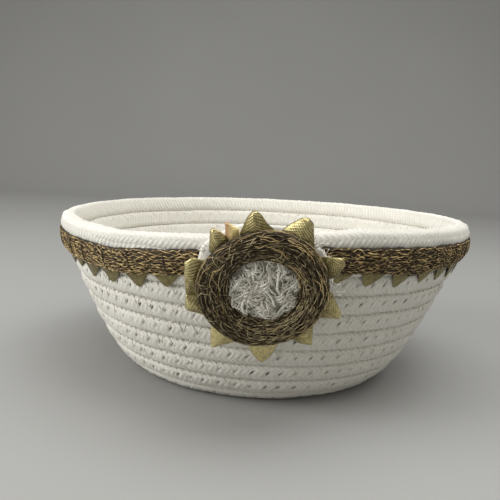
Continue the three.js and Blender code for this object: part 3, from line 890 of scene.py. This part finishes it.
PETAL_END = [(-11, 14), (-12.8, 17), (-13, 21.4), (-12, 21.6), (-8.6, 19.6), (-8.4, 17.4), (-7.8, 14)]
PETAL_ROWS, PETAL_SCALE, CORNER_ROUNDS = 60, (0.2, 0.2), 6


def chain(corners, rows):
    """Evenly spaced points along a chain of corners, with each corner rounded by a short running mean."""
    corners = np.asarray(corners, float)
    length = run_along(corners)
    place = np.linspace(0, length[-1], rows)
    spots = np.stack([np.interp(place, length, corners[:, k]) for k in (0, 1)], -1)
    for _ in range(CORNER_ROUNDS):
        spots[1:-1] = (spots[:-2] + 2 * spots[1:-1] + spots[2:]) / 4
    return spots


def petal_rings(corners, curl, swell):
    """One petal as rings on the flower's plane: its outline is split at the corner furthest from the middle
    of its root, and the rings run from one side to the other."""
    corners = np.asarray(corners, float)
    middle = (corners[0] + corners[-1]) / 2
    tip = int(np.argmax(np.linalg.norm(corners - middle, axis=1)))
    one, other = chain(corners[: tip + 1], PETAL_ROWS), chain(corners[tip:][::-1], PETAL_ROWS)
    turned = np.cross([*(corners[tip] - middle), 0], [*(corners[0] - middle), 0])[2] > 0
    left, right = (one, other) if turned else (other, one)
    apart = np.linspace(1, 0.01, PETAL_ROWS)[:, None] ** 0.02
    left, right = left * apart + right * (1 - apart), right * apart + left * (1 - apart)
    places, out, values = leaf_rings(
        left[None], right[None], edge=0.7, swell=swell, ridge=1.4, curl=[curl], front=52, back=8
    )
    return on_flower(places[..., 0], places[..., 1], PETAL_BACK + out), values


def add_petals():
    """Ten gold petals and one narrow copper end between two of them."""
    pieces = []
    for i, (corners, curl, swell, painted_shade) in enumerate(PETALS):
        rings, values = petal_rings(corners, curl, swell)
        # Painted shade near the root and over the whole petal; below 0, painted light that brightens the
        # petal.
        values["root"] = values["root"] * (1 + 2 * min(painted_shade, 0)) + painted_shade
        name, nodes = f"petal_{i + 1:02d}", [f"flower_petal_{i + 1:02d}"]
        pieces.append(add_piece(name, rings, GOLD, nodes, PETAL_SCALE, values))
    rings, values = petal_rings(PETAL_END, curl=0.3, swell=1.5)
    nodes = ["flower_petal_end"]
    pieces.append(add_piece("petal_end", rings, COPPER, nodes, PETAL_SCALE, values))
    return pieces


# Waves round the ring's outer and inner edge: size, number of waves and phase of each.
RING_OUTER_WAVES = ((0.5, 2, -0.23), (0.24, 4, 2.66), (-0.23, 1, np.pi / 2), (0.17, 3, -1.21))
RING_INNER_WAVES = ((0.5, 1, 0.0), (0.2, 3, 0.0))
RING_INSET, PAD_INSET = 0.2, 0.15


def waved(angle, waves):
    """Sum of sines round the flower."""
    return sum(size * np.sin(count * angle + phase) for size, count, phase in waves)


def on_ring(angle, round_it, lift):
    """Point on the padded ring: an oval carried round the flower, by the angle round the flower, the angle
    round the oval from its outer edge to its front, and a lift. The outer edge is wavy, and the hole is a
    little higher than the ring."""
    outer = RING_OUTER + waved(angle, RING_OUTER_WAVES)
    inner = RING_INNER + waved(angle, RING_INNER_WAVES)
    radius = (outer + inner) / 2 + ((outer - inner) / 2 + lift) * np.cos(round_it)
    half = RING_THICKNESS / 2 - RING_INSET
    out = RING_BACK + half + (half + lift) * np.sin(round_it)
    return on_flower(radius * np.cos(angle), radius * np.sin(angle), out)


def add_ring():
    """Padded ring under its net: a closed oval tube round the flower, uneven as gathered cloth is."""
    steps, sides = 160, 28
    angle = np.linspace(0, TAU, steps, endpoint=False)
    turn = np.linspace(0, TAU, sides, endpoint=False)
    dents = 0.12 * np.sin(17 * angle)[:, None] * np.sin(3 * turn)
    dents = dents + 0.1 * np.sin(29 * angle + 1)[:, None] * np.cos(2 * turn)
    points = on_ring(angle[:, None], -turn[None, :], dents - PAD_INSET)
    return add_piece("ring_pad", points, NET, ["flower_ring"], (0.6, 0.7), closed=True)


RING_THREAD, RING_TIES, RING_GLINTS = (0.13, 0.11), 280, 70


def add_ring_net():
    """Net threads gathered round the ring: waves that wander over its front on their way round it, the
    lighter ones on top."""
    draw = np.random.default_rng(71)
    count, steps = 84, 220
    angle = np.linspace(0, TAU, steps)
    start = draw.uniform(-0.55, np.pi + 0.6, count)
    tone = 0.85 * draw.random(count) ** 1.3
    paths, ups, shade = [], [], []
    for k in range(count):
        sway, glint = 0.0, 0.0
        for waves in draw.integers(1, 17, 4):
            sway = sway + np.sin(waves * angle + TAU * draw.random()) / (1 + 0.12 * waves)
            glint = glint + np.sin((waves + 20) * angle + TAU * draw.random())
        place = start[k] + (0.16 - 0.09 * tone[k]) * sway
        lift = 0.1 + 0.3 * tone[k] + 0.2 * (1 + np.sin(draw.integers(9, 25) * angle + TAU * draw.random()))
        path, up = lifted(on_ring, angle, place, lift)
        paths.append(path)
        ups.append(up)
        # Besides each thread's tone: painted glints along it, painted light towards the ring's bottom and
        # right, painted shade towards its top and left.
        shade.append(tone[k] + 0.15 * glint - 0.12 * np.sin(angle) + 0.12 * np.cos(angle) - 0.05)
    lines = np.stack(paths), np.stack(ups)
    add_threads("ring_net", lines, RING_THREAD, RING_STRAND, (0.5, 0.3), shade)


def add_ring_ties():
    """Short threads over the ring, in all directions but mostly along it."""
    draw = np.random.default_rng(72)
    each = (RING_TIES, 1)
    share = np.linspace(0, 1, 8)
    angle = draw.uniform(0, TAU, each)
    place = draw.uniform(-0.3, np.pi + 0.35, each)
    run = draw.normal(0, 0.2, each)
    rise = draw.normal(0, 0.6, each)
    bow = draw.normal(0, 0.07, each)
    bend = np.sin(np.pi * share)
    lines = lifted(on_ring, angle + run * share, place + rise * share + bow * bend, 0.25 + 0.5 * bend)
    add_threads("ring_ties", lines, RING_THREAD, RING_STRAND, (0.6, 0.3), draw.random(each))


def add_ring_edge_shadow():
    """Dark thread round the ring's outer edge, in small waves: mostly a painted shadow line along that
    edge, and partly the net gathered in behind it.
    """
    steps = 260
    angle = np.linspace(0, TAU, steps)[None]
    place = -0.2 + 0.12 * np.sin(13 * angle) + 0.08 * np.sin(31 * angle + 1)
    lines = lifted(on_ring, angle, place, 0.55)
    add_threads("ring_edge_shadow", lines, (0.3, 0.22), DARK_THREAD_AND_SHADOW, (0.5, 0.4), sides=5)


def add_ring_glints():
    """Thin bright threads that run along the ring in long shallow waves and lie on top of the others."""
    draw = np.random.default_rng(73)
    each = (RING_GLINTS, 1)
    share = np.linspace(0, 1, 14)
    angles = draw.uniform(0, TAU, each) + draw.uniform(0.2, 0.6, each) * share
    waves, phase = draw.uniform(0.5, 1.6, each), draw.random(each)
    sway = 0.07 * np.sin(TAU * (waves * share + phase))
    start, rise = draw.uniform(-0.2, np.pi + 0.2, each), draw.normal(0, 0.35, each)
    lift = 0.3 + 0.45 * np.sin(np.pi * share) ** 0.5
    lines = lifted(on_ring, angles, start + rise * share + sway, lift)
    shade = draw.uniform(*GLINT_SHADES, each)
    add_threads("ring_glints", lines, (0.12, 0.1), STRAND, (0.6, 0.3), shade)


TUFT_RADIUS, TUFT_BACK, TUFT_HEIGHT = 12.2, 2.7, 4.2
TUFT_SHARES = np.array([0.02, 0.5, 0.96, 1.0, 0.97, 0.9, 0.8, 0.68, 0.54, 0.4, 0.26, 0.12, 0.02])
FRAY_START, FRAY_REACH, FRAY_POINTS = 0.95, 11.2, 9
YARN_LENGTH, YARN_LIFT, YARN_THICKNESS = 2.0, 0.9, 0.25


def tuft_height(right, top):
    """Height of the tuft's mound over the felt: a flat dome with a few soft lumps."""
    dome = TUFT_HEIGHT * np.clip(1 - (np.hypot(right, top) / TUFT_RADIUS) ** 5, 0, 1) ** 0.5
    lumps = np.sin(0.62 * right + 0.9) * np.sin(0.7 * top - 0.5)
    return TUFT_BACK + dome * (1 + 0.16 * lumps)


def add_tuft():
    """Mound of frayed cotton in the flower's middle: a lumpy dome in darker felt, painted shade between the
    loose ends.
    """
    draw = np.random.default_rng(81)
    sides = 72
    angle = np.linspace(0, TAU, sides, endpoint=False)
    radius = TUFT_RADIUS * TUFT_SHARES[:, None] * (1 + 0.02 * np.sin(5 * angle))
    right, top = radius * np.cos(angle), radius * np.sin(angle)
    height = tuft_height(right, top) + draw.normal(0, 0.16, right.shape)
    height[:3] = TUFT_BACK
    return add_piece("tuft_mound", on_flower(right, top, height), TUFT_SHADED_GROUND, ["flower_centre"])


def add_fray():
    """Frayed ends over the mound, in clumps: the threads of a clump start close together, run the same way
    with a small spread, bend aside and rise towards their loose ends. A few of them are whole yarns,
    longer, thicker and on top of the rest."""
    draw = np.random.default_rng(82)
    clumps, count, yarns = 120, 840, 22
    each = (count, 1)
    yarn = np.arange(count)[:, None] < yarns
    member = draw.integers(0, clumps, each)
    radius = TUFT_RADIUS * FRAY_START * np.sqrt(draw.random(clumps))
    angle = draw.uniform(0, TAU, clumps)
    right = (radius * np.cos(angle))[member] + draw.normal(0, 0.8, each)
    top = (radius * np.sin(angle))[member] + draw.normal(0, 0.8, each)
    heading = draw.uniform(0, TAU, clumps)[member] + draw.normal(0, 0.35, each)
    bend = draw.normal(0, 1.2, clumps)[member] + draw.normal(0, 0.5, each)
    length = draw.uniform(2.0, 5.0, each) * np.where(yarn, YARN_LENGTH, 1)
    rise = draw.uniform(0.1, 2.0, clumps)[member] * draw.uniform(0.7, 1.2, each)
    share = np.linspace(0, 1, FRAY_POINTS)
    way = heading + bend * share
    step = length / FRAY_POINTS
    right = right + np.cumsum(np.cos(way), 1) * step
    top = top + np.cumsum(np.sin(way), 1) * step
    pull = np.minimum(1, FRAY_REACH / np.maximum(np.hypot(right, top), 1e-6))
    right, top = right * pull, top * pull
    out = tuft_height(right, top) + rise * np.sin(0.7 * np.pi * share) + 0.05
    out = out + YARN_LIFT * yarn
    thick = draw.uniform(0.15, 0.34, each) * (1 - 0.5 * share**3)
    thick = np.where(yarn, YARN_THICKNESS + 0.5 * thick, thick)
    lines = on_flower(right, top, out), FLOWER_OUT
    add_threads("tuft_fray", lines, (thick, thick), FRAY, (0.6, 0.4))


add_rope()
add_seam("seam_outer", side=1, first_phase=0.0, below=3.0, above=1.8, thickness=0.2)
add_seam("seam_inner", side=-1, first_phase=0.5, below=2.2, above=2.2, thickness=0.22)
band = add_band()
net_back = add_net("band_net_back", rows=12, lift=0.25, thickness=0.16, skin=SHADED_BACK_STRAND, seed=32)
net_front = add_net("band_net_front", rows=10, lift=0.4, thickness=0.18, skin=STRAND, seed=33)
glints = add_band_glints()
tacks = add_tacks()
points = add_points()
felt = add_backing()
felt_fray = add_felt_fray()
petals = add_petals()
ring = add_ring()
add_ring_net()
add_ring_ties()
add_ring_edge_shadow()
add_ring_glints()
tuft = add_tuft()
add_fray()

# Floor, light and camera, in metres. Each lamp has its place, size and watts.

FLOOR_NEAR, FLOOR_BEND, BEND_RADIUS, BACKDROP_TOP, FLOOR_HALF = -3.0, 0.9, 0.5, 3.0, 4.0
LAMP_AIM = Vector((0, 0, 0.05))
LAMPS = {
    "top": ((0.0, 0.0, 0.95), 0.8, 4.5),
    "left": ((-0.75, -0.27, 0.36), 0.5, 4.95),
    "back": ((0.5, 0.05, 0.8), 0.5, 2.0),
    "front": ((0.22, -0.28, 0.95), 0.4, 1.3),
}
WORLD_COLOUR, WORLD_STRENGTH = colour(1.0, 0.98, 0.93), 0.46
CAMERA_PLACE, CAMERA_DOWN, CAMERA_ROLL = (-0.00498, -0.2784, 0.09365), 8.91, 3.1
CAMERA_LENS, CAMERA_SENSOR, CAMERA_NEAR = 43.11, 36.0, 0.01


def add_floor():
    """Floor under the bowl that bends up into a backdrop: a straight run, a quarter circle of 0.5 m and an
    upright, carried sideways."""
    bend = np.radians(np.linspace(0, 90, 24))
    far = FLOOR_BEND + BEND_RADIUS
    away = np.concatenate([[FLOOR_NEAR], FLOOR_BEND + BEND_RADIUS * np.sin(bend), [far]])
    rise = np.concatenate([[0.0], BEND_RADIUS - BEND_RADIUS * np.cos(bend), [BACKDROP_TOP]])
    side = np.array([-FLOOR_HALF, FLOOR_HALF])
    spots = np.stack(np.broadcast_arrays(side[None, :], away[:, None], rise[:, None]), -1)
    first = 2 * np.arange(len(away) - 1)[:, None]
    mesh = bpy.data.meshes.new("floor")
    mesh.from_pydata(spots.reshape(-1, 3).tolist(), [], (first + [0, 1, 3, 2]).tolist())
    mesh.polygons.foreach_set("use_smooth", np.ones(len(first), bool))
    mesh.materials.append(floor_finish())
    floor = placed("floor", mesh)


def add_lamp(name, place, size, watts):
    """Square area lamp at a place, facing the bowl's middle."""
    lamp = bpy.data.lights.new(name, "AREA")
    lamp.size = size
    lamp.energy = watts
    holder = placed(name, lamp)
    holder.location = place
    holder.rotation_euler = (LAMP_AIM - Vector(place)).to_track_quat("-Z", "Y").to_euler()


def add_world():
    """Even warm light from all sides."""
    world = bpy.data.worlds.new("room")
    world.use_nodes = True
    sockets = world.node_tree.nodes["Background"].inputs
    sockets["Color"].default_value = WORLD_COLOUR
    sockets["Strength"].default_value = WORLD_STRENGTH
    bpy.context.scene.world = world


def add_camera():
    """Camera at the photograph's place, looking down by 8.9 degrees and rolled by 3.1 degrees."""
    camera = bpy.data.cameras.new("camera")
    camera.sensor_width = CAMERA_SENSOR
    camera.lens = CAMERA_LENS
    camera.clip_start = CAMERA_NEAR
    holder = placed("camera", camera)
    tilt = Matrix.Rotation(math.radians(90 - CAMERA_DOWN), 4, "X")
    roll = Matrix.Rotation(math.radians(CAMERA_ROLL), 4, "Z")
    holder.matrix_world = Matrix.Translation(CAMERA_PLACE) @ tilt @ roll
    bpy.context.scene.camera = holder


add_floor()
for lamp_name, lamp_values in LAMPS.items():
    add_lamp(lamp_name, *lamp_values)
add_world()
add_camera()
bpy.context.scene.view_settings.view_transform = "Standard"
